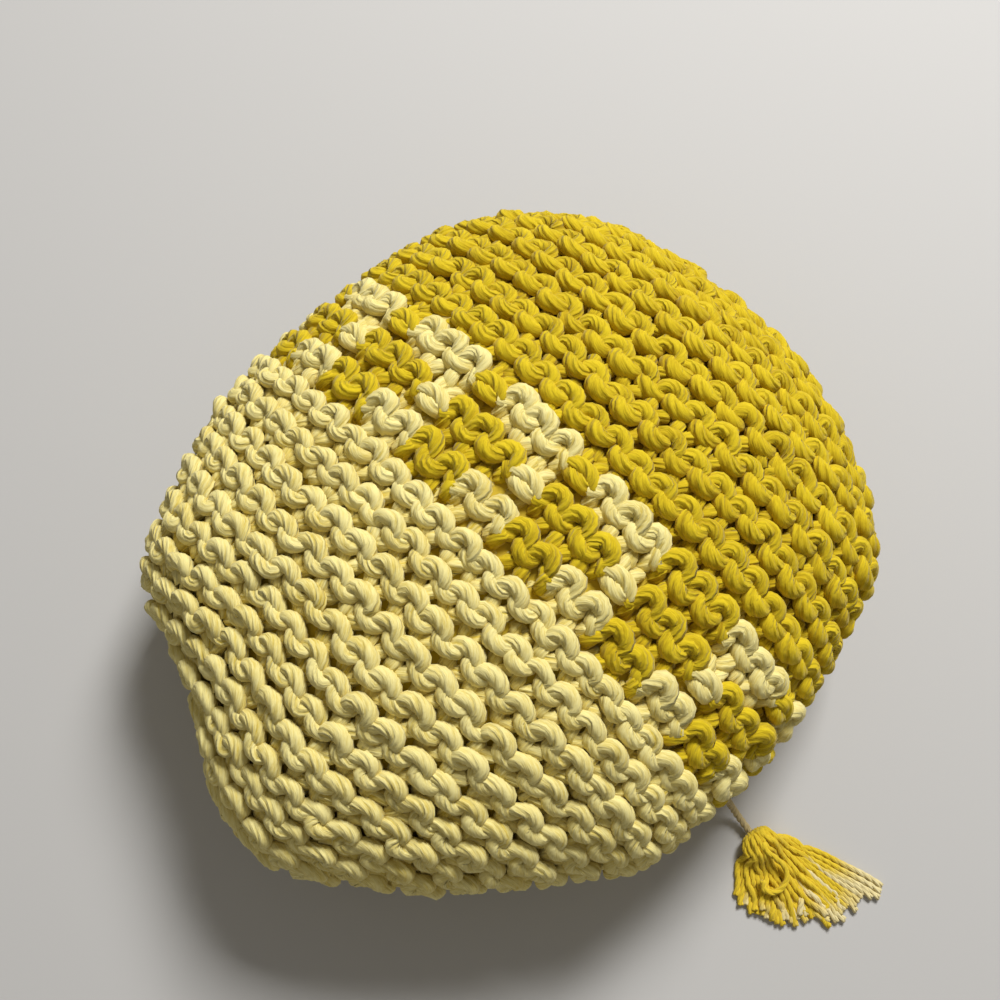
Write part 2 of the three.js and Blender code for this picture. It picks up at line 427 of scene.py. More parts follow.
class YarnShop:
    """Makes the yarn materials and the node groups that they share."""

    def __init__(self) -> None:
        """Build the shared groups once."""
        self.plies = PlyLook()
        self.strands = self.strand_group()
        self.tone = self.tone_and_shade_group()
        self.made: dict[str, bpy.types.Material] = {}

    @staticmethod
    def group(name: str, inputs: dict[str, str], outputs: dict[str, str]) -> bpy.types.NodeTree:
        """Make an empty node group.

        Args:
            name: Its name.
            inputs: Socket kinds by input name.
            outputs: Socket kinds by output name.

        Returns:
            The group.
        """
        group = bpy.data.node_groups.new(name, "ShaderNodeTree")
        for label, kind in inputs.items():
            group.interface.new_socket(label, in_out="INPUT", socket_type="NodeSocket" + kind)
        for label, kind in outputs.items():
            group.interface.new_socket(label, in_out="OUTPUT", socket_type="NodeSocket" + kind)
        return group

    def strand_group(self) -> bpy.types.NodeTree:
        """Build the group that lays soft strands and fine fibre round a yarn.

        Returns:
            A group with the strands' height, a mask of painted shade in their creases, and the fibre's fleck.
        """
        group = self.group(
            "yarn_strands",
            {"Place": "Vector", "Strands": "Float", "Girth": "Float", "Fibre": "Float"},
            {"Height": "Float", "Crease": "Float", "Fleck": "Float"},
        )
        wire, look = Wiring(group), self.plies
        source, sink = wire.add("NodeGroupInput").outputs, wire.add("NodeGroupOutput")
        parts = wire.feed(wire.add("ShaderNodeSeparateXYZ"), Vector=source["Place"]).outputs
        angle = wire.math("ARCTAN2", parts["Y"], parts["X"])
        count = wire.math("MULTIPLY", wire.math("DIVIDE", angle, FULL_TURN), source["Strands"])
        slow_scale = wire.math("DIVIDE", look.bend_scale, source["Girth"])
        slow = wire.noise(source["Place"], slow_scale, look.bend_run, 1.0)
        bent = wire.math("MULTIPLY", wire.math("SUBTRACT", slow, 0.5), look.bend)
        within = wire.math("FRACT", wire.math("ADD", count, bent), 0.0)
        wave = wire.math("COSINE", wire.math("MULTIPLY", within, FULL_TURN), 0.0)
        round_top = wire.math("SUBTRACT", 0.5, wire.math("MULTIPLY", wave, 0.5))
        firm_scale = wire.math("DIVIDE", look.firm_scale, source["Girth"])
        firm = wire.noise(source["Place"], firm_scale, look.firm_run, 1.0)
        depth = wire.add("ShaderNodeMapRange")
        wire.feed(depth, Value=firm, From_Min=look.firm_least, From_Max=look.firm_most, To_Min=look.faintest)
        dip = wire.math("MULTIPLY", wire.math("SUBTRACT", 1.0, round_top), depth.outputs["Result"])
        # Painted shade mask over the floor of each crease between the plies.
        edge = wire.add("ShaderNodeMapRange", interpolation_type="SMOOTHSTEP")
        wire.feed(edge, Value=dip, From_Min=look.crease_shade_start, From_Max=1.0)
        fine_scale = wire.math("DIVIDE", 1.0, source["Fibre"])
        fleck = wire.noise(source["Place"], fine_scale, look.fibre_run, look.fibre_detail)
        wire.feed(sink, Height=wire.math("SUBTRACT", 1.0, dip), Crease=edge.outputs["Result"], Fleck=fleck)
        return group

    def tone_and_shade_group(self) -> bpy.types.NodeTree:
        """Build the group that tones a yarn stitch by stitch and paints shade into its creases, grooves and
        valleys.

        Returns:
            A group with one colour.
        """
        group = self.group(
            "yarn_tone_and_painted_shade",
            {
                "Lit": "Color",
                "Deep": "Color",
                "Crease": "Float",
                "Fleck": "Float",
                "Tint": "Float",
                "Lump": "Float",
            },
            {"Colour": "Color"},
        )
        wire, look = Wiring(group), self.plies
        source, sink = wire.add("NodeGroupInput").outputs, wire.add("NodeGroupOutput")
        fleck = wire.math("MULTIPLY", wire.math("SUBTRACT", source["Fleck"], 0.5), look.fleck_tone)
        # Painted light and shade: raised lobes of the yarn are lightened and the grooves between them
        # darkened.
        lump = wire.math("MULTIPLY", source["Lump"], look.lump_painted_shading)
        plain = wire.math("ADD", source["Tint"], look.plain_tone)
        shade = wire.math("ADD", wire.math("ADD", fleck, lump), plain)
        # Painted shade in the creases between the plies.
        shade = wire.math("SUBTRACT", shade, wire.math("MULTIPLY", source["Crease"], look.crease_shade_tone))
        wire.feed(sink, Colour=wire.blend(shade, source["Deep"], source["Lit"]))
        return group

    def material(self, finish: Finish, faded: Finish | None = None) -> bpy.types.Material:
        """Give a finish's material.

        Args:
            finish: The finish to make.
            faded: The finish that it fades to along a strand, if it does.

        Returns:
            The material, made once.
        """
        look = finish.value
        if look.name in self.made:
            return self.made[look.name]
        material = bpy.data.materials.new(look.name)
        material.use_nodes = True
        wire = Wiring(material.node_tree)
        shader = material.node_tree.nodes["Principled BSDF"]
        place = wire.add("ShaderNodeAttribute", attribute_name="strand").outputs["Vector"]
        tint = wire.add("ShaderNodeAttribute", attribute_name="tint").outputs["Fac"]
        lump = wire.add("ShaderNodeAttribute", attribute_name="lump").outputs["Fac"]
        strands = wire.add("ShaderNodeGroup", node_tree=self.strands)
        wire.feed(strands, Place=place, Strands=look.strands, Girth=look.girth, Fibre=look.fibre_size)

        def dyed(yarn: YarnFinish) -> bpy.types.NodeSocket:
            """Colour the strands between one yarn's lit colour and its painted shade colour."""
            tone = wire.add("ShaderNodeGroup", node_tree=self.tone)
            wire.feed(tone, Lit=(*yarn.lit, 1.0), Deep=(*yarn.deep, 1.0), Tint=tint, Lump=lump)
            wire.feed(tone, Crease=strands.outputs["Crease"], Fleck=strands.outputs["Fleck"])
            return tone.outputs["Colour"]

        colour = dyed(look)
        if faded:
            fade = wire.add("ShaderNodeAttribute", attribute_name="fade").outputs["Fac"]
            colour = wire.blend(fade, colour, dyed(faded.value))
        rough = wire.add("ShaderNodeBump")
        wire.feed(rough, Height=strands.outputs["Fleck"], Distance=look.fibre_depth)
        bump = wire.add("ShaderNodeBump")
        wire.feed(bump, Height=strands.outputs["Height"], Distance=look.crease_depth)
        wire.feed(bump, Normal=rough.outputs["Normal"])
        wire.feed(shader, Base_Color=colour, Normal=bump.outputs["Normal"])
        veil = tuple((1 + part) / 2 for part in look.lit)
        wire.feed(shader, Roughness=look.roughness, Specular_IOR_Level=look.gloss)
        wire.feed(shader, Sheen_Weight=look.sheen, Sheen_Roughness=look.sheen_roughness)
        wire.feed(shader, Sheen_Tint=(*veil, 1.0))
        self.made[look.name] = material
        return material

    def body_material(self, form: PillowForm) -> bpy.types.Material:
        """Make the finish of the body that shows between the loops, coloured as painted shade.

        Args:
            form: The pillow, which says where the colours meet.

        Returns:
            The material.
        """
        material = bpy.data.materials.new("inner_shade")
        material.use_nodes = True
        wire = Wiring(material.node_tree)
        place = wire.add("ShaderNodeTexCoord").outputs["Object"]
        along = wire.add("ShaderNodeVectorMath", operation="DOT_PRODUCT")
        wire.feed(along, _0=place, _1=tuple(form.knit_axis))
        split = wire.add("ShaderNodeMapRange")
        start, stop = form.colour_change
        wire.feed(split, Value=along.outputs["Value"], From_Min=start, From_Max=stop)
        # The body takes the painted shade colours of the pale and the mustard yarn.
        pale, mustard = ((*finish.value.deep, 1.0) for finish in (Finish.PALE, Finish.MUSTARD))
        colour = wire.blend(split.outputs["Result"], pale, mustard)
        shader = material.node_tree.nodes["Principled BSDF"]
        wire.feed(shader, Base_Color=colour, Roughness=self.plies.padding_roughness)
        return material


def yarn_axes(path: np.ndarray, up: np.ndarray, closed: bool) -> tuple[np.ndarray, np.ndarray]:
    """Give the two directions in which a yarn is round at each point of its line.

    Args:
        path: The line.
        up: A direction out of the cloth at each point.
        closed: Whether the line joins its own start.

    Returns:
        The direction outwards and the one across.
    """
    ahead = np.roll(path, -1, axis=0) - np.roll(path, 1, axis=0) if closed else np.gradient(path, axis=0)
    ahead = unit(ahead)
    across = unit(np.cross(ahead, up))
    return np.cross(across, ahead), across


@dataclass
class YarnMesh:
    """Swept yarn, gathered as arrays and joined into one mesh."""

    sides: int = 12
    lobes: tuple[int, int] = (4, 3)
    lobe_shares: tuple[float, float] = (0.6, 0.4)
    lump: float = 0.08
    drift: float = 0.06
    corners: list[np.ndarray] = field(default_factory=list)
    places: list[np.ndarray] = field(default_factory=list)
    tones_and_shades: list[np.ndarray] = field(default_factory=list)
    lumps: list[np.ndarray] = field(default_factory=list)
    fades: list[np.ndarray] = field(default_factory=list)
    quads: list[np.ndarray] = field(default_factory=list)
    triangles: list[np.ndarray] = field(default_factory=list)
    count: int = 0

    def sweep(
        self, path: np.ndarray, up: np.ndarray, radius: np.ndarray, lay: float, tint: np.ndarray, closed: bool
    ) -> None:
        """Sweep one yarn along a line.

        Args:
            path: Ring centres.
            up: A direction out of the cloth at each ring.
            radius: Yarn radius at each ring.
            lay: Length of one full turn of the plies.
            tint: Random tone of each ring, with painted shade where it lies low in a valley.
            closed: Whether the yarn joins its own start.
        """
        sides = self.sides
        out, across = yarn_axes(path, up, closed)
        reach = reach_along(path)
        total = reach[-1] + (np.linalg.norm(path[0] - path[-1]) if closed else 0)
        turns = max(1, round(total / lay)) if closed else total / lay
        twist = FULL_TURN * turns * reach / total
        side = FULL_TURN * np.arange(sides) / sides
        angle = side[None, :] + twist[:, None]
        many, few = self.lobes
        most, least = self.lobe_shares
        slide = FULL_TURN * reach / self.drift
        lumps = most * np.cos(many * side)[None, :] + least * np.cos(few * side[None, :] - slide[:, None])
        reached = radius[:, None] * (1 + self.lump * lumps)
        ring = (
            path[:, None, :]
            + (reached * np.cos(angle))[..., None] * out[:, None, :]
            + (reached * np.sin(angle))[..., None] * across[:, None, :]
        )
        self.skin(path, ring, lumps, radius, reach, tint, closed)

    def tube(
        self, path: np.ndarray, up: np.ndarray, radius: float, sides: int, tint: np.ndarray, fade: np.ndarray
    ) -> None:
        """Sweep one plain round ply with closed ends.

        Args:
            path: Ring centres.
            up: A direction across the ply at each ring.
            radius: Its radius.
            sides: Corners of each ring.
            tint: Shade of each ring.
            fade: How far the dye has faded at each ring.
        """
        out, across = yarn_axes(path, up, False)
        side = FULL_TURN * np.arange(sides) / sides
        spoke = np.cos(side)[None, :, None] * out[:, None, :]
        spoke = spoke + np.sin(side)[None, :, None] * across[:, None, :]
        ring = path[:, None, :] + radius * spoke
        lumps = np.zeros((len(path), sides))
        self.skin(path, ring, lumps, np.full(len(path), radius), reach_along(path), tint, False)
        self.fades += [np.repeat(fade, sides), np.array([fade[0], fade[-1]])]

    def skin(
        self,
        path: np.ndarray,
        ring: np.ndarray,
        lumps: np.ndarray,
        radius: np.ndarray,
        reach: np.ndarray,
        tint: np.ndarray,
        closed: bool,
    ) -> None:
        """Join rings of corners into a yarn's skin and close its ends.

        Args:
            path: Ring centres.
            ring: Corners of each ring.
            lumps: How far each corner stands out.
            radius: Yarn radius at each ring.
            reach: Each ring's distance along the yarn.
            tint: Shade of each ring.
            closed: Whether the yarn joins its own start.
        """
        rings, sides = ring.shape[:2]
        side = FULL_TURN * np.arange(sides) / sides
        place = np.empty((rings, sides, 3))
        place[..., 0] = radius[:, None] * np.cos(side)[None, :]
        place[..., 1] = radius[:, None] * np.sin(side)[None, :]
        place[..., 2] = reach[:, None]
        base = self.count
        self.add(ring.reshape(-1, 3), place.reshape(-1, 3), np.repeat(tint, sides), lumps.ravel())
        here = np.arange(rings if closed else rings - 1)[:, None]
        there = (here + 1) % rings
        low = np.arange(sides)
        high = (low + 1) % sides
        near, far = base + here * sides, base + there * sides
        quad = np.stack([near + low, near + high, far + high, far + low], axis=-1)
        self.quads.append(quad.reshape(-1, 4))
        if not closed:
            last = base + (rings - 1) * sides
            self.cap(path[0], place[0].mean(axis=0), tint[0], base + low, base + high, True)
            self.cap(path[-1], place[-1].mean(axis=0), tint[-1], last + low, last + high, False)

    def cap(
        self,
        centre: np.ndarray,
        place: np.ndarray,
        tint: float,
        low: np.ndarray,
        high: np.ndarray,
        start: bool,
    ) -> None:
        """Close a yarn's cut end with a fan.

        Args:
            centre: Middle of the end.
            place: Its place in the yarn.
            tint: Its shade.
            low: Each rim corner.
            high: The rim corner after it.
            start: Whether this is the yarn's first end.
        """
        self.add(centre[None], place[None], np.array([tint]), np.zeros(1))
        middle = np.full_like(low, self.count - 1)
        self.triangles.append(np.stack([middle, high, low] if start else [middle, low, high], axis=-1))

    def add(self, corners: np.ndarray, places: np.ndarray, tones_and_shades: np.ndarray, lumps: np.ndarray) -> None:
        """Add corners.

        Args:
            corners: The corners.
            places: Their places in the yarn.
            tones_and_shades: Their shades.
            lumps: How far they stand out.
        """
        self.corners.append(corners)
        self.places.append(places)
        self.tones_and_shades.append(tones_and_shades)
        self.lumps.append(lumps)
        self.count += len(corners)

    def build(self, name: str, material: bpy.types.Material) -> bpy.types.Object:
        """Join all that was swept into one piece.

        Args:
            name: The piece's name.
            material: Its finish.

        Returns:
            The new object.
        """
        corners = np.concatenate(self.corners)
        quads = np.concatenate(self.quads)
        triangles = np.concatenate(self.triangles) if self.triangles else np.empty((0, 3), int)
        loops = np.concatenate([quads.ravel(), triangles.ravel()])
        sizes = np.concatenate([np.full(len(quads), 4), np.full(len(triangles), 3)])
        mesh = bpy.data.meshes.new(name)
        mesh.vertices.add(len(corners))
        mesh.vertices.foreach_set("co", corners.ravel())
        mesh.loops.add(len(loops))
        mesh.loops.foreach_set("vertex_index", loops.astype(np.int32))
        mesh.polygons.add(len(sizes))
        mesh.polygons.foreach_set("loop_start", (np.cumsum(sizes) - sizes).astype(np.int32))
        mesh.update(calc_edges=True)
        mesh.shade_smooth()
        place = mesh.attributes.new("strand", "FLOAT_VECTOR", "POINT")
        place.data.foreach_set("vector", np.concatenate(self.places).ravel())
        for label, values in (("lump", self.lumps), ("tint", self.tones_and_shades), ("fade", self.fades)):
            if values:
                mark = mesh.attributes.new(label, "FLOAT", "POINT")
                mark.data.foreach_set("value", np.concatenate(values))
        mesh.materials.append(material)
        piece = bpy.data.objects.new(name, mesh)
        bpy.context.scene.collection.objects.link(piece)
        LOG.info("%s: %d triangles", name, 2 * len(quads) + len(triangles))
        return piece


class Row(Enum):
    """The two rows of yarn that make a garter ridge."""

    KNIT = 1
    PURL = -1


@dataclass(frozen=True)
class LoopPoint:
    """A place on one loop of yarn.

    along is in stitches, arch in half ridge heights, pitch in ridge pitches, and depth and girth in yarn
    diameters. front is how far the place takes the girth of its zone's heads or sinkers.
    """

    along: float
    arch: float
    pitch: float
    depth: float
    steps: int
    girth: float = 1.0
    front: float = 0.0


@dataclass(frozen=True)
class RidgeZone:
    """A run of like ridges."""

    name: str
    ridges: int
    pitch: float
    height: float
    head_girth: float
    sinker_girth: float


@dataclass(frozen=True)
class Ridge:
    """One garter ridge as it lies on the pillow."""

    zone: RidgeZone
    order: int
    reach: float
    pitch: float
    arch: float
    stitches: int


@dataclass(frozen=True)
class Slack:
    """How unevenly hand knitting lies.

    The first values are spreads of random draws. Each wave has its size, its number in a row and its phase.
    """

    lean: float = 0.05
    swell: float = 0.09
    sunk: float = 0.1
    girth: float = 0.05
    along: float = 0.022
    shift: float = 0.025
    across: float = 0.016
    shade: float = 0.1
    waves: tuple[tuple[float, int, float], ...] = ((0.0012, 2, 31.0), (0.0007, 5, 47.0))


@dataclass(frozen=True)
class BandRow:
    """One ridge of the colour band, as a hand chart of four stitches that repeats."""

    motif: str
    jog_from: int = 1000
    jog_by: int = 0
    extra_mustard: tuple[int, ...] = ()
    start: int = 3

    def finish(self, column: int) -> Finish:
        """Give a column's yarn.

        Args:
            column: Stitches from the face's middle.

        Returns:
            The yarn's finish.
        """
        place = column + self.start + (self.jog_by if column >= self.jog_from else 0)
        mustard = column in self.extra_mustard or self.motif[place % len(self.motif)] == "M"
        return Finish.MUSTARD if mustard else Finish.PALE


@dataclass
class GarterKnit:
    """The knitted cover, stitch by stitch."""

    form: PillowForm
    shop: YarnShop
    seed: int = 11
    yarn_diameter: float = 0.0090
    lay: float = 0.046
    slack: Slack = Slack()
    # Painted shade: yarn whose centre lies more than valley_shade_start yarn diameters under the outer
    # surface is darkened by valley_shade per diameter.
    valley_shade: float = 0.5
    valley_shade_start: float = 0.6
    row_tilt: float = 0.0052
    row_bow: float = 0.002
    band_stitches: int = 52
    band_width: float = 0.0177
    widening: float = 0.001
    widening_ridges: int = 4
    narrowing_share: float = 0.4
    fewest_stitches: int = 8
    knit_trim: tuple[int, int] = (5, 4)
    purl_trim: tuple[int, int] = (8, 7)
    run_steps: int = 2
    zones: tuple[RidgeZone, ...] = (
        RidgeZone("pale", 12, 0.0207, 0.0186, 1.06, 1.06),
        RidgeZone("band", 3, 0.028, 0.0218, 1.24, 1.26),
        RidgeZone("mustard", 9, 0.0233, 0.0196, 1.14, 1.36),
    )
    band_chart: tuple[BandRow, ...] = (
        BandRow("MMPP"),
        BandRow("MMMP"),
        BandRow("MPPP", jog_from=7, jog_by=-2, extra_mustard=(6,)),
    )
    knit_loop: tuple[LoopPoint, ...] = (
        LoopPoint(-0.50, 0.0, -0.74, 1.7, 1, 0.85),
        LoopPoint(-0.08, 0.0, -0.76, 1.1, 1, 1.0),
        LoopPoint(-0.15, 0.0, -0.60, 0.54, 1, 1.15),
        LoopPoint(-0.26, 0.0, -0.41, 0.52, 1, 1.1),
        LoopPoint(-0.34, -1.1, 0.0, 0.72, 1, 0.88),
        LoopPoint(-0.40, -0.50, 0.0, 0.26, 2, 0.84, 0.3),
        LoopPoint(-0.34, 0.42, 0.0, 0.0, 2, 0.92, 0.7),
        LoopPoint(-0.13, 0.95, 0.0, -0.04, 3, 1.0, 1.0),
        LoopPoint(0.15, 0.93, 0.0, -0.04, 2, 1.0, 1.0),
        LoopPoint(0.35, 0.38, 0.0, 0.0, 2, 0.92, 0.7),
        LoopPoint(0.40, -0.52, 0.0, 0.24, 1, 0.84, 0.3),
        LoopPoint(0.34, -1.1, 0.0, 0.72, 1, 0.88),
        LoopPoint(0.26, 0.0, -0.41, 0.52, 1, 1.1),
        LoopPoint(0.15, 0.0, -0.60, 0.54, 1, 1.15),
        LoopPoint(0.08, 0.0, -0.76, 1.1, 1, 1.0),
    )
    purl_loop: tuple[LoopPoint, ...] = (
        LoopPoint(-0.50, 0.0, 0.76, 1.7, 1, 0.9),
        LoopPoint(-0.27, 0.0, 0.58, 0.86, 1, 1.0),
        LoopPoint(-0.30, 1.0, 0.0, 1.05, 1, 0.9),
        LoopPoint(-0.36, 0.36, 0.0, 0.46, 2, 0.84, 0.3),
        LoopPoint(-0.33, -0.40, 0.0, 0.16, 2, 0.9, 0.6),
        LoopPoint(-0.16, -0.95, 0.0, 0.08, 3, 1.0, 0.9),
        LoopPoint(0.15, -0.95, 0.0, 0.08, 2, 1.0, 0.9),
        LoopPoint(0.33, -0.42, 0.0, 0.16, 2, 0.9, 0.6),
        LoopPoint(0.36, 0.34, 0.0, 0.46, 1, 0.84, 0.3),
        LoopPoint(0.30, 1.0, 0.0, 1.05, 1, 0.9),
        LoopPoint(0.27, 0.0, 0.58, 0.86, 1, 1.0),
    )
    splayed_leg: tuple[LoopPoint, ...] = (
        LoopPoint(-0.48, -1.4, -0.18, 1.5, 2),
        LoopPoint(-0.50, -1.7, 0.0, 0.45, 2, 1.05),
        LoopPoint(-0.40, -0.8, 0.0, 0.14, 2, 1.05),
    )
    tucked_leg: tuple[LoopPoint, ...] = (
        LoopPoint(-0.20, -1.0, -0.3, 1.5, 2, 1.1),
        LoopPoint(-0.26, -1.5, 0.0, 0.72, 2, 1.1),
        LoopPoint(-0.32, -0.7, 0.0, 0.4, 2, 1.05),
    )
    bow_leg: tuple[LoopPoint, ...] = (
        LoopPoint(-0.36, 2.0, 0.0, 1.5, 2),
        LoopPoint(-0.30, 1.5, 0.0, 0.45, 2, 0.95),
        LoopPoint(-0.18, 0.5, 0.0, 0.24, 2, 0.95),
        LoopPoint(-0.08, -0.5, 0.0, 0.5, 2, 0.9),
        LoopPoint(-0.04, -1.0, 0.0, 1.4, 2, 0.9),
    )
    bow_strands: tuple[tuple[LoopPoint, ...], ...] = (
        (
            LoopPoint(-0.40, -1.0, 0.0, 1.3, 2, 0.9),
            LoopPoint(-0.56, -0.75, 0.0, 0.30, 2, 0.95),
            LoopPoint(-0.30, -0.12, 0.0, -0.02, 3, 1.1),
            LoopPoint(0.04, 0.06, 0.0, -0.06, 3, 1.15),
            LoopPoint(0.34, -0.18, 0.0, -0.02, 3, 1.1),
            LoopPoint(0.56, -0.80, 0.0, 0.30, 2, 0.95),
            LoopPoint(0.40, -1.0, 0.0, 1.3, 2, 0.9),
        ),
        (
            LoopPoint(-0.36, -0.6, 0.0, 1.2, 2, 0.9),
            LoopPoint(-0.36, -1.0, 0.0, 0.22, 2, 1.0),
            LoopPoint(0.0, -1.22, 0.0, 0.04, 3, 1.12),
            LoopPoint(0.36, -1.04, 0.0, 0.22, 2, 1.0),
            LoopPoint(0.36, -0.6, 0.0, 1.2, 2, 0.9),
        ),
    )
    half_sinker: tuple[LoopPoint, ...] = (
        LoopPoint(-0.28, -0.4, 0.0, 1.9, 2, 0.8),
        LoopPoint(-0.13, -0.66, 0.0, 1.05, 2, 0.95),
        LoopPoint(0.08, -0.82, 0.0, 0.18, 2, 1.15),
    )

    def __post_init__(self) -> None:
        """Set out the ridges over the face."""
        self.random = np.random.default_rng(self.seed)
        ease = self.form.face_length / sum(z.ridges * z.pitch for z in self.zones)
        self.ridges: list[Ridge] = []
        start = 0.0
        for zone in self.zones:
            pitch = zone.pitch * ease
            for order in range(zone.ridges):
                reach = start + pitch * (order + 0.5)
                arch = (zone.height - self.yarn_diameter) / 2
                stitches = self.stitches(zone, order, reach)
                self.ridges.append(Ridge(zone, order, reach, pitch, arch, stitches))
            start += pitch * zone.ridges

    def stitches(self, zone: RidgeZone, order: int, reach: float) -> int:
        """Count a ridge's stitches, which are wider away from the band.

        Args:
            zone: The ridge's zone.
            order: Its place in the zone.
            reach: Its distance from the pale end.

        Returns:
            Stitches round the pillow.
        """
        if zone.name == "band":
            return self.band_stitches
        away = zone.ridges - order if zone.name == "pale" else order + 1
        beyond = max(0, away - self.widening_ridges)
        steps = min(away, self.widening_ridges) - self.narrowing_share * beyond
        width = self.band_width + self.widening * steps
        return max(self.fewest_stitches, round(self.form.perimeter(reach) / width))

    def loops(self, ridge: Ridge, row: Row, first: int, count: int) -> tuple[np.ndarray, np.ndarray]:
        """Lay out the loops of one row before they are put on the pillow.

        Args:
            ridge: The ridge they belong to.
            row: Which of its two rows.
            first: Index of the first loop from the face's middle.
            count: How many loops.

        Returns:
            Control points, as stitches along, metres across, metres of lift and girth, and the samples of
            each span.
        """
        table = self.knit_loop if row is Row.KNIT else self.purl_loop
        along = np.array([p.along for p in table])
        across = np.array([p.arch * ridge.arch + p.pitch * ridge.pitch for p in table])
        depth = np.array([p.depth for p in table]) * self.yarn_diameter
        fullest = ridge.zone.head_girth if row is Row.KNIT else ridge.zone.sinker_girth
        girth = np.array([p.girth * (1 + p.front * (fullest - 1)) for p in table])
        draw, slack = self.random.normal, self.slack
        places = first + np.arange(count) + (0.5 if row is Row.PURL else 0.0)
        lean = draw(0, slack.lean, count)[:, None]
        swell = 1 + draw(0, slack.swell, count)[:, None]
        sunk = draw(0, slack.sunk * self.yarn_diameter, count)[:, None]
        fat = girth[None, :] * (1 + draw(0, slack.girth, count)[:, None])
        x = places[:, None] + along[None, :] + lean + draw(0, slack.along, (count, len(table)))
        y = across[None, :] * swell + draw(0, slack.shift * ridge.pitch, count)[:, None]
        y = y + draw(0, slack.across * ridge.pitch, (count, len(table)))
        z = -self.yarn_diameter / 2 - depth[None, :] + sunk
        control = np.stack([x, y, z, fat], axis=-1).reshape(-1, 4)
        return control, np.tile([p.steps for p in table], count)

    def lay_yarn(
        self, mesh: YarnMesh, ridge: Ridge, control: np.ndarray, steps: np.ndarray, closed: bool
    ) -> None:
        """Put one yarn's control points on the pillow and sweep it.

        Args:
            mesh: Where the yarn goes.
            ridge: The ridge it belongs to.
            control: Control points as stitches along, metres across, metres of lift and girth.
            steps: Samples of each span.
            closed: Whether the row closes on itself.
        """
        line = spline_round(control, steps, ridge.stitches) if closed else spline(control, steps)
        share = line[:, 0] / ridge.stitches
        path, up = self.form.place(ridge.reach + line[:, 1] + self.wander(share, ridge), share, line[:, 2])
        radius = line[:, 3] * self.yarn_diameter / 2
        path[:, 2] = np.maximum(path[:, 2], radius)
        shades = self.random.normal(0, self.slack.shade, ridge.stitches)
        shade = np.interp(line[:, 0] % ridge.stitches, np.arange(ridge.stitches), shades)
        # Painted shade: yarn low in the valleys is darkened, on top of each stitch's random tone.
        shade += self.valley_shade * np.minimum(0.0, line[:, 2] / self.yarn_diameter + self.valley_shade_start)
        mesh.sweep(path, up, radius, self.lay, shade, closed)

    def wander(self, share: np.ndarray, ridge: Ridge) -> np.ndarray:
        """Let a ridge stray a little across the cloth, as hand knitting does.

        Args:
            share: Share of the way round the row.
            ridge: The ridge.

        Returns:
            How far it strays at each place.
        """
        fade = math.sin(math.pi * ridge.reach / self.form.face_length)
        tilt = -self.row_tilt * np.sin(FULL_TURN * share) + self.row_bow * np.cos(2 * FULL_TURN * share)
        stray = fade * tilt
        for size, number, phase in self.slack.waves:
            stray = stray + size * np.sin(FULL_TURN * number * share + ridge.reach * phase)
        return stray

    def plain_ridges(self, name: str, zone: str, start: int, stop: int, finish: Finish) -> bpy.types.Object:
        """Knit a run of ridges in one colour.

        Args:
            name: The piece's name.
            zone: The zone they belong to.
            start: The first ridge in it.
            stop: The ridge after the last.
            finish: The yarn.

        Returns:
            The joined piece.
        """
        mesh = YarnMesh()
        for ridge in self.ridges:
            if ridge.zone.name == zone and start <= ridge.order < stop:
                for row in Row:
                    control, steps = self.loops(ridge, row, -(ridge.stitches // 2), ridge.stitches)
                    self.lay_yarn(mesh, ridge, control, steps, True)
        piece = mesh.build(name, self.shop.material(finish))
        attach(piece, "root")
        return piece

    def runs(self, row: BandRow) -> list[tuple[Finish, int, int]]:
        """Split a band ridge into runs of one colour.

        Args:
            row: The ridge's chart.

        Returns:
            Each run's yarn, first column and last column.
        """
        low = -(self.band_stitches // 2)
        runs: list[tuple[Finish, int, int]] = []
        for column in range(low, low + self.band_stitches):
            yarn = row.finish(column)
            if runs and runs[-1][0] is yarn:
                runs[-1] = (yarn, runs[-1][1], column)
            else:
                runs.append((yarn, column, column))
        return runs

    @staticmethod
    def mirrored(points: tuple[LoopPoint, ...]) -> tuple[LoopPoint, ...]:
        """Turn points over to the other side of their column."""
        return tuple(replace(point, along=-point.along) for point in points)

    def run_end(self, ridge: Ridge, points: tuple[LoopPoint, ...], column: float) -> np.ndarray:
        """Place the few points with which a run of colour dives to the back.

        Args:
            ridge: The ridge.
            points: The points, measured from the column.
            column: Where they go.

        Returns:
            Control points.
        """
        return np.array(
            [
                (
                    column + p.along,
                    p.arch * ridge.arch + p.pitch * ridge.pitch,
                    -self.yarn_diameter * (0.5 + p.depth),
                    p.girth,
                )
                for p in points
            ]
        )

    def band(self) -> list[bpy.types.Object]:
        """Knit the colour band.

        Returns:
            The pale piece and the mustard piece.
        """
        meshes = {finish: YarnMesh() for finish in (Finish.PALE, Finish.MUSTARD)}
        for ridge in self.ridges:
            if ridge.zone.name == "band":
                for yarn, first, last in self.runs(self.band_chart[ridge.order]):
                    if first == last:
                        self.bow(meshes[yarn], ridge, first)
                    else:
                        self.knit_run(meshes[yarn], ridge, yarn, first, last)
                        self.purl_run(meshes[yarn], ridge, first, last)
        pieces = []
        for finish, mesh in meshes.items():
            piece = mesh.build("band_" + finish.name.lower(), self.shop.material(finish))
            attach(piece, "root")
            pieces.append(piece)
        return pieces

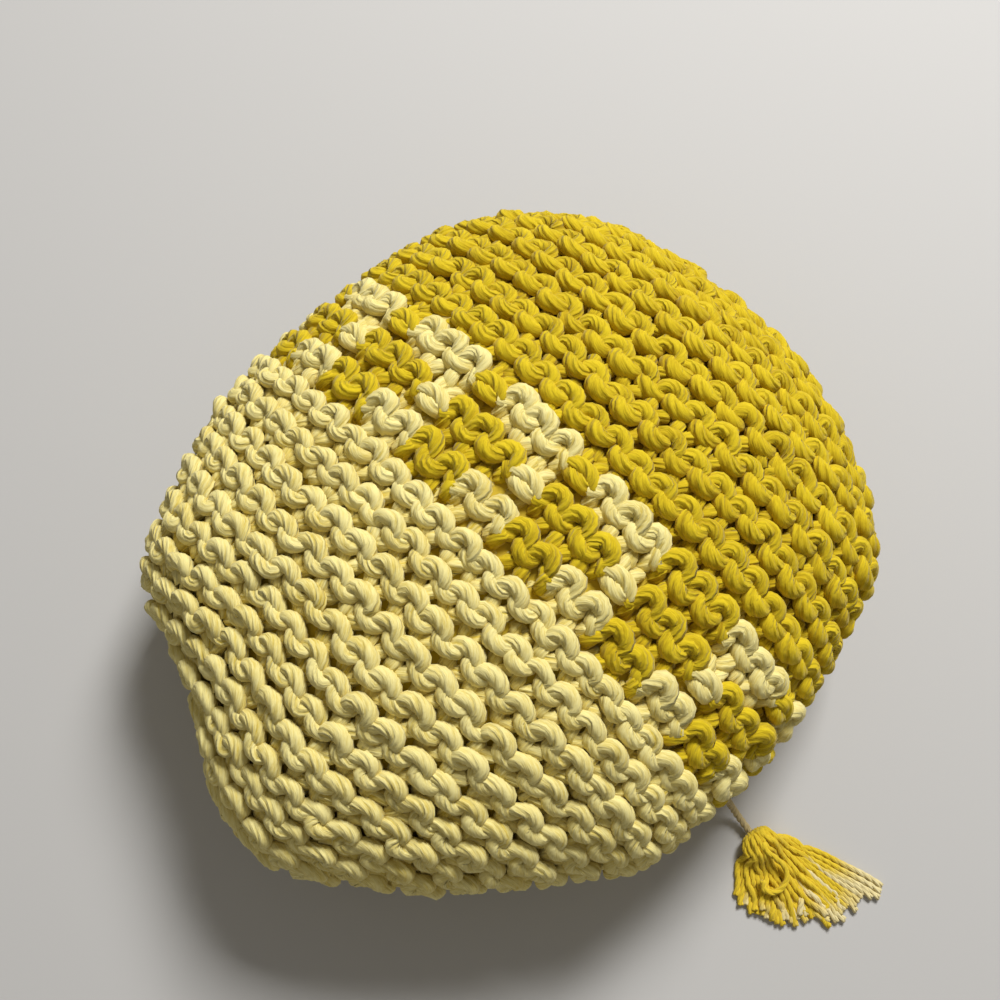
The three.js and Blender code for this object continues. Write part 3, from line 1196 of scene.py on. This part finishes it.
    def knit_run(self, mesh: YarnMesh, ridge: Ridge, yarn: Finish, first: int, last: int) -> None:
        """Knit one run of heads, with the bare legs that show at both its ends.

        Args:
            mesh: Where the yarn goes.
            ridge: The ridge.
            yarn: The run's yarn.
            first: The run's first column.
            last: Its last column.
        """
        control, _ = self.loops(ridge, Row.KNIT, first, last - first + 1)
        leg = self.splayed_leg if yarn is Finish.MUSTARD and ridge.order == 0 else self.tucked_leg
        lead = self.run_end(ridge, leg, first)
        tail = self.run_end(ridge, self.mirrored(leg)[::-1], last)
        before, after = self.knit_trim
        whole = np.vstack([lead, control[before:-after], tail])
        self.lay_yarn(mesh, ridge, whole, np.full(len(whole), self.run_steps), False)

    def bow(self, mesh: YarnMesh, ridge: Ridge, column: int) -> None:
        """Knit a lone stitch as a bow, with the two bare legs that come down to it.

        Args:
            mesh: Where the yarn goes.
            ridge: The ridge.
            column: The stitch's column.
        """
        for points in (self.bow_leg, self.mirrored(self.bow_leg), *self.bow_strands):
            line = self.run_end(ridge, points, column)
            steps = np.array([p.steps for p in points])
            self.lay_yarn(mesh, ridge, line, steps, False)

    def purl_run(self, mesh: YarnMesh, ridge: Ridge, first: int, last: int) -> None:
        """Knit one run of sinkers, with the half sinkers at both its ends.

        Args:
            mesh: Where the yarn goes.
            ridge: The ridge.
            first: The run's first column.
            last: Its last column.
        """
        control, _ = self.loops(ridge, Row.PURL, first - 1, last - first + 2)
        lead = self.run_end(ridge, self.half_sinker, first - 0.5)
        tail = self.run_end(ridge, self.mirrored(self.half_sinker)[::-1], last + 0.5)
        before, after = self.purl_trim
        whole = np.vstack([lead, control[before:-after], tail])
        self.lay_yarn(mesh, ridge, whole, np.full(len(whole), self.run_steps), False)


@dataclass
class PaddedBody:
    """The filled body under the knit, which blocks the view between the loops and is coloured as painted
    shade.
    """

    form: PillowForm
    shop: YarnShop
    inset: float = 0.0132
    voxel: float = 0.009
    pressure: float = 4.0
    frames: int = 20
    most_swell: float = 0.003
    rows: int = 90
    columns: int = 180

    def build(self) -> bpy.types.Object:
        """Make, swell and smooth the body.

        Returns:
            The padded piece.
        """
        body = self.shell()
        self.select(body)
        remesh = body.modifiers.new("even_cloth", "REMESH")
        remesh.mode = "VOXEL"
        remesh.voxel_size = self.voxel
        bpy.ops.object.modifier_apply(modifier=remesh.name)
        self.swell(body)
        smooth = body.modifiers.new("soft", "SUBSURF")
        smooth.levels = 1
        smooth.render_levels = 1
        bpy.ops.object.modifier_apply(modifier=smooth.name)
        body.data.shade_smooth()
        body.data.materials.clear()
        body.data.materials.append(self.shop.body_material(self.form))
        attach(body, "root")
        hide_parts("pillow")
        return body

    @staticmethod
    def select(piece: bpy.types.Object) -> None:
        """Select one piece alone.

        Args:
            piece: The piece.
        """
        bpy.ops.object.select_all(action="DESELECT")
        piece.select_set(True)
        bpy.context.view_layer.objects.active = piece

    def shell(self) -> bpy.types.Object:
        """Make the closed shell that lies under the loops.

        Returns:
            The new object.
        """
        reach = np.linspace(0, self.form.face_length, self.rows)
        share = np.arange(self.columns) / self.columns
        grid_reach, grid_share = np.meshgrid(reach, share, indexing="ij")
        lift = np.full(grid_reach.size, -self.inset)
        points, _ = self.form.place(grid_reach.ravel(), grid_share.ravel(), lift)
        low = np.arange(self.columns)
        high = (low + 1) % self.columns
        faces = []
        for row in range(self.rows - 1):
            here, there = row * self.columns, (row + 1) * self.columns
            faces += np.stack([here + low, here + high, there + high, there + low], axis=-1).tolist()
        faces.append(low[::-1].tolist())
        faces.append(((self.rows - 1) * self.columns + low).tolist())
        mesh = bpy.data.meshes.new("padded_body")
        mesh.from_pydata(points.tolist(), [], faces)
        body = bpy.data.objects.new("padded_body", mesh)
        bpy.context.scene.collection.objects.link(body)
        return body

    def swell(self, body: bpy.types.Object) -> None:
        """Blow the cloth up a little and keep each point near its start.

        Args:
            body: The piece, which is the active one.
        """
        scene = bpy.context.scene
        count = len(body.data.vertices)
        start = np.empty(3 * count)
        body.data.vertices.foreach_get("co", start)
        cloth = body.modifiers.new("filling", "CLOTH")
        cloth.settings.use_pressure = True
        cloth.settings.uniform_pressure_force = self.pressure
        cloth.settings.effector_weights.gravity = 0.0
        for number in range(1, self.frames + 1):
            scene.frame_set(number)
        bpy.ops.object.modifier_apply(modifier=cloth.name)
        scene.frame_set(1)
        swollen = np.empty(3 * count)
        body.data.vertices.foreach_get("co", swollen)
        start, swollen = start.reshape(-1, 3), swollen.reshape(-1, 3)
        move = swollen - start
        length = np.linalg.norm(move, axis=1, keepdims=True)
        move *= np.minimum(1.0, self.most_swell / np.maximum(length, TINY))
        body.data.vertices.foreach_set("co", (start + move).ravel())
        body.data.update()


@dataclass(frozen=True)
class Twist:
    """How plies are twisted into a cord or a strand."""

    plies: int
    ply_radius: float
    offset: float
    pitch: float
    sides: int
    opening: float = 0.0

    def wind(
        self, mesh: YarnMesh, path: np.ndarray, start_turn: float, tint: np.ndarray, fade: np.ndarray
    ) -> None:
        """Wind the plies round a line.

        Args:
            mesh: Where they go.
            path: The line.
            start_turn: Angle of the first ply at the line's start.
            tint: Shade at each point of the line.
            fade: How far the dye has faded there.
        """
        out, across = yarn_axes(path, np.tile([0.0, 0.0, 1.0], (len(path), 1)), False)
        reach = reach_along(path)
        ends = np.clip((reach - reach[-1] + 2 * self.pitch) / (2 * self.pitch), 0, 1)
        offset = self.offset * (1 + self.opening * ends**2)
        for ply in range(self.plies):
            angle = start_turn + FULL_TURN * (ply / self.plies + reach / self.pitch)
            line = path + (offset * np.cos(angle))[:, None] * out + (offset * np.sin(angle))[:, None] * across
            line[:, 2] = np.maximum(line[:, 2], self.ply_radius)
            mesh.tube(line, out, self.ply_radius, self.sides, tint, fade)


@dataclass
class CordAndTassel:
    """The twisted cord sewn to the rim and the tassel that hangs on it."""

    form: PillowForm
    shop: YarnShop
    turn_deg: float = -49.5
    diameter: float = 0.005
    route: tuple[Place, ...] = (
        (0.1953, 0.0, 0.0465),
        (0.1996, 0.0, 0.0432),
        (0.2039, 0.0001, 0.0396),
        (0.2079, 0.0003, 0.0356),
        (0.2114, 0.0006, 0.0312),
        (0.2142, 0.0010, 0.0264),
        (0.2168, 0.0014, 0.0214),
        (0.2196, 0.0018, 0.0166),
        (0.2230, 0.0021, 0.0122),
        (0.2272, 0.0022, 0.0087),
        (0.2322, 0.0021, 0.0065),
        (0.2372, 0.0018, 0.0056),
        (0.2420, 0.0014, 0.0054),
    )
    head_reach: float = 0.2485
    head_height: float = 0.0090
    cord_twist: Twist = Twist(plies=3, ply_radius=0.00135, offset=0.00118, pitch=0.013, sides=7)
    strand_twist: Twist = Twist(plies=3, ply_radius=0.0013, offset=0.00064, pitch=0.018, sides=7, opening=0.5)
    cord_turn: float = 0.4
    route_steps: int = 6
    strand_steps: int = 4
    strands: int = 42
    strand_points: int = 15
    head_radius: float = 0.0092
    head_shape: tuple[float, float] = (1.3, 0.72)
    fan_turn_deg: float = -59.0
    fan_spread_deg: float = 82.0
    fan_reach: float = 0.057
    fan_skew: float = 0.85
    fan_unevenness_deg: float = 3.0
    cut_lengths: tuple[float, float] = (0.88, 1.06)
    tuck_share: float = 0.4
    gather_share: float = 0.7
    root_step: float = 0.004
    root_dome: float = 0.003
    root_bulge: float = 0.12
    curl: float = 0.0008
    curl_rise: float = 0.3
    sway: float = 0.0024
    sway_points: float = 9.0
    fade_places: tuple[float, ...] = (-1.0, 0.0, 0.5, 1.0)
    fade_shares: tuple[float, ...] = (1.1, 0.88, 0.7, 0.42)
    fade_unevenness: float = 0.16
    fade_sharpness: float = 5.0
    never_fades: float = 1.2
    shade_unevenness: float = 0.12
    curled_strand: tuple[Place, ...] = (
        (0.002, -0.001, 0.0150),
        (0.003, -0.006, 0.0160),
        (0.009, -0.0105, 0.0145),
        (0.0150, -0.0160, 0.0118),
        (0.0165, -0.0225, 0.0105),
        (0.0135, -0.0285, 0.0098),
        (0.0075, -0.0320, 0.0094),
        (0.0015, -0.0300, 0.0096),
        (0.0010, -0.0245, 0.0104),
    )
    held_points: int = 4
    settle_rounds: int = 90
    sink: float = 0.0005
    return_share: float = 0.04
    straighten_share: float = 0.12
    push_share: float = 0.35
    seed: int = 5

    def build(self) -> None:
        """Make the tassel and the cord that carries it."""
        tassel = self.tassel()
        self.cord()

    def outward(self, place: Place) -> np.ndarray:
        """Turn a distance out, a step aside and a height into a point.

        Args:
            place: Distance out from the middle, step aside and height.

        Returns:
            The point on the part.
        """
        turn = math.radians(self.turn_deg)
        heading = np.array([math.cos(turn), math.sin(turn), 0.0])
        aside = np.array([-heading[1], heading[0], 0.0])
        shift = np.array([*self.form.shift, 0.0])
        return heading * place[0] + aside * place[1] + np.array([0.0, 0.0, place[2]]) + shift

    def cord(self) -> None:
        """Twist the cord along its route.
        """
        knots = np.array([self.outward(place) for place in self.route])
        line = spline(knots, np.full(len(knots), self.route_steps))
        mesh = YarnMesh()
        even = np.zeros(len(line))
        self.cord_twist.wind(mesh, line, self.cord_turn, even, even)
        piece = mesh.build("twisted_cord", self.shop.material(Finish.CORD))
        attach(piece, "root")
        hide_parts("tassel_cord")

    def tassel(self) -> bpy.types.Object:
        """Lay the cut strands in a settled heap and twist each one.

        Returns:
            The joined piece.
        """
        random = np.random.default_rng(self.seed)
        lines = list(self.settle(*self.fan(random)))
        starts = [*self.fade_starts(random), self.never_fades]
        head = self.outward((self.head_reach, self.route[-1][1], 0.0))
        lines.append(head + np.array(self.curled_strand))
        mesh = YarnMesh()
        for line, start in zip(lines, starts):
            smooth = spline(line, np.full(len(line), self.strand_steps))
            fade = np.clip((np.linspace(0, 1, len(smooth)) - start) * self.fade_sharpness, 0, 1)
            tint = np.full(len(smooth), random.normal(0, self.shade_unevenness))
            self.strand_twist.wind(mesh, smooth, random.uniform(0, FULL_TURN), tint, fade)
        piece = mesh.build("tassel_strands", self.shop.material(Finish.GOLDEN, Finish.CREAM))
        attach(piece, "root")
        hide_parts("tassel")
        return piece

    def fade_starts(self, random: np.random.Generator) -> np.ndarray:
        """Choose where each strand's gold gives way to cream, sooner at the fan's right edge.

        Args:
            random: Seeded source of unevenness.

        Returns:
            Share of each strand's length at which its cream begins, over one where it stays gold.
        """
        share = self.root_layout()[:, 0]
        start = np.interp(share, self.fade_places, self.fade_shares)
        return start + random.normal(0, self.fade_unevenness, self.strands)

    def root_layout(self) -> np.ndarray:
        """Spread the strands' roots evenly over a disc.

        Returns:
            Sideways and upward places, each from -1 to 1.
        """
        number = np.arange(self.strands) + 0.5
        radius = np.sqrt(number / self.strands)
        angle = number * math.pi * (3 - math.sqrt(5))
        return np.stack([radius * np.cos(angle), radius * np.sin(angle)], axis=-1)

    def fan(self, random: np.random.Generator) -> tuple[np.ndarray, np.ndarray]:
        """Set the strands out straight from the head.

        Args:
            random: Seeded source of unevenness.

        Returns:
            Points of each strand, and each strand's spacing.
        """
        layout = self.root_layout()
        head = self.outward((self.head_reach, self.route[-1][1], self.head_height))
        axis_turn = math.radians(self.fan_turn_deg)
        axis = np.array([math.cos(axis_turn), math.sin(axis_turn), 0.0])
        aside = np.array([-axis[1], axis[0], 0.0])
        upward = np.array([0.0, 0.0, 1.0])
        share = layout[:, 0] / 2
        stray = random.normal(0, self.fan_unevenness_deg, self.strands)
        turn = axis_turn + np.radians(share * self.fan_spread_deg + stray)
        reach = self.fan_reach * (1 + self.fan_skew * share) * random.uniform(*self.cut_lengths, self.strands)
        spacing = reach / (self.strand_points - 3)
        heading = np.stack([np.cos(turn), np.sin(turn), np.zeros(self.strands)], axis=-1)
        spread = self.head_radius * (layout * self.head_shape)
        out_of_line = spread[:, :1] * aside + spread[:, 1:] * upward
        inner = (1 - (layout**2).sum(axis=1))[:, None]
        dome = np.sqrt(np.maximum(0, inner))
        tucked = head + self.tuck_share * out_of_line
        gather = head + self.gather_share * out_of_line - self.root_dome * (1 + dome) * axis
        root = head + out_of_line + (self.root_step + self.root_dome * inner) * axis
        steps = np.arange(self.strand_points - 2)
        free = root[:, None, :] + steps[None, :, None] * spacing[:, None, None] * heading[:, None, :]
        curl = random.normal(0, self.curl, (self.strands, len(steps), 3)) * (steps[None, :, None] > 1)
        flattened = np.array([1.0, 1.0, self.curl_rise])
        curl = (curl + np.roll(curl, 1, axis=1) + np.roll(curl, 2, axis=1)) * flattened
        swing = random.normal(0, self.sway, (self.strands, 1)) * steps[None, :] / self.strand_points * 2
        phase = random.uniform(0, FULL_TURN, (self.strands, 1))
        swing *= np.sin(FULL_TURN * steps[None, :] / self.sway_points + phase)
        sideways = np.stack([-heading[:, 1], heading[:, 0], np.zeros(self.strands)], axis=-1)
        curl = curl + swing[..., None] * sideways[:, None, :]
        middle = (gather + root) / 2 + self.root_bulge * out_of_line
        whole = np.concatenate([tucked[:, None], gather[:, None], middle[:, None], free + curl], axis=1)
        return whole, spacing

    def settle(self, lines: np.ndarray, spacing: np.ndarray) -> np.ndarray:
        """Let the strands sink onto the floor and onto each other.

        Args:
            lines: Points of each strand.
            spacing: Distance between a strand's points.

        Returns:
            The settled points.
        """
        held = self.held_points
        radius = self.strand_twist.ply_radius + self.strand_twist.offset
        aim = lines[..., :2].copy()
        owner = np.repeat(np.arange(self.strands), lines.shape[1])
        apart = owner[:, None] != owner[None, :]
        loose = np.tile(np.arange(lines.shape[1]) >= held, self.strands)
        for _ in range(self.settle_rounds):
            lines[:, held:, 2] -= self.sink
            lines[:, held:, :2] += self.return_share * (aim[:, held:] - lines[:, held:, :2])
            middle = (lines[:, held - 1 : -2] + lines[:, held + 1 :]) / 2
            lines[:, held:-1] += self.straighten_share * (middle - lines[:, held:-1])
            flat = lines.reshape(-1, 3)
            gap = flat[:, None, :] - flat[None, :, :]
            far = np.linalg.norm(gap, axis=-1)
            close = apart & (far < 2 * radius)
            push = np.where(close, (2 * radius - far) / np.maximum(far, TINY), 0.0) * self.push_share
            flat = flat + (push[..., None] * gap).sum(axis=1) * loose[:, None]
            lines = flat.reshape(lines.shape)
            for point in range(held, lines.shape[1]):
                step = lines[:, point] - lines[:, point - 1]
                lines[:, point] = lines[:, point - 1] + unit(step) * spacing[:, None]
            lines[..., 2] = np.maximum(lines[..., 2], radius)
        return lines


@dataclass
class Studio:
    """Floor, light and camera."""

    lean_deg: float = 16.0
    camera_place: Place = (-0.0060, -0.1608, 0.7016)
    lens_mm: float = 36.0
    sensor_mm: float = 36.0
    floor_side: float = 6.0
    floor_colour: Colour = (0.50, 0.49, 0.475)
    floor_roughness: float = 0.85
    fill_colour: Colour = (1.0, 0.95, 0.86)
    fill_strength: float = 0.2
    light_target: Place = (0.0, 0.0, 0.1)
    key_place: Place = (0.85, 1.72, 2.25)
    key_side: float = 0.9
    key_watts: float = 107.0
    front_place: Place = (-0.2, -1.4, 1.2)
    front_side: float = 1.2
    front_watts: float = 1.5

    def build(self) -> None:
        """Set the stage up."""
        self.floor()
        self.lights()
        self.camera()

    def floor(self) -> None:
        """Lay the plain pale floor."""
        bpy.ops.object.select_all(action="DESELECT")
        bpy.ops.mesh.primitive_plane_add(size=self.floor_side, location=(0, 0, 0))
        floor = bpy.context.active_object
        floor.name = "studio_floor"
        material = bpy.data.materials.new("pale_floor")
        material.use_nodes = True
        shader = material.node_tree.nodes["Principled BSDF"]
        shader.inputs["Base Color"].default_value = (*self.floor_colour, 1.0)
        shader.inputs["Roughness"].default_value = self.floor_roughness
        floor.data.materials.append(material)

    def lights(self) -> None:
        """Hang the soft lights and set the room's fill."""
        world = bpy.data.worlds.new("studio_fill")
        world.use_nodes = True
        fill = world.node_tree.nodes["Background"]
        fill.inputs["Color"].default_value = (*self.fill_colour, 1.0)
        fill.inputs["Strength"].default_value = self.fill_strength
        bpy.context.scene.world = world
        self.area_light("key_light", self.key_place, self.key_side, self.key_watts)
        self.area_light("front_light", self.front_place, self.front_side, self.front_watts)

    def area_light(self, name: str, place: Place, size: float, power: float) -> None:
        """Hang one square soft light that faces the pillow.

        Args:
            name: Its name.
            place: Where it hangs.
            size: Length of a side.
            power: Watts.
        """
        lamp = bpy.data.lights.new(name, "AREA")
        lamp.size = size
        lamp.energy = power
        holder = bpy.data.objects.new(name, lamp)
        bpy.context.scene.collection.objects.link(holder)
        holder.location = place
        facing = Vector(self.light_target) - Vector(place)
        holder.rotation_euler = facing.to_track_quat("-Z", "Y").to_euler()

    def camera(self) -> None:
        """Put the camera at the photograph's angle to the face."""
        data = bpy.data.cameras.new("photo_camera")
        data.lens = self.lens_mm
        data.sensor_width = self.sensor_mm
        data.sensor_fit = "HORIZONTAL"
        camera = bpy.data.objects.new("photo_camera", data)
        bpy.context.scene.collection.objects.link(camera)
        camera.location = self.camera_place
        camera.rotation_euler = (math.radians(self.lean_deg), 0.0, 0.0)
        bpy.context.scene.camera = camera
        bpy.context.scene.view_settings.view_transform = "Standard"


def main() -> None:
    """Build the pillow's pieces in order."""
    logging.basicConfig(level=logging.INFO)
    Studio().build()
    shop = YarnShop()
    form = PillowForm()
    PaddedBody(form, shop).build()
    knit = GarterKnit(form, shop)
    for number, start in enumerate((0, 4, 8), 1):
        knit.plain_ridges(f"pale_ridges_{number}", "pale", start, start + 4, Finish.PALE)
    knit.band()
    knit.plain_ridges("mustard_ridges_1", "mustard", 0, 4, Finish.MUSTARD)
    knit.plain_ridges("mustard_ridges_2", "mustard", 4, 9, Finish.MUSTARD)
    CordAndTassel(form, shop).build()


if __name__ == "__main__":
    main()
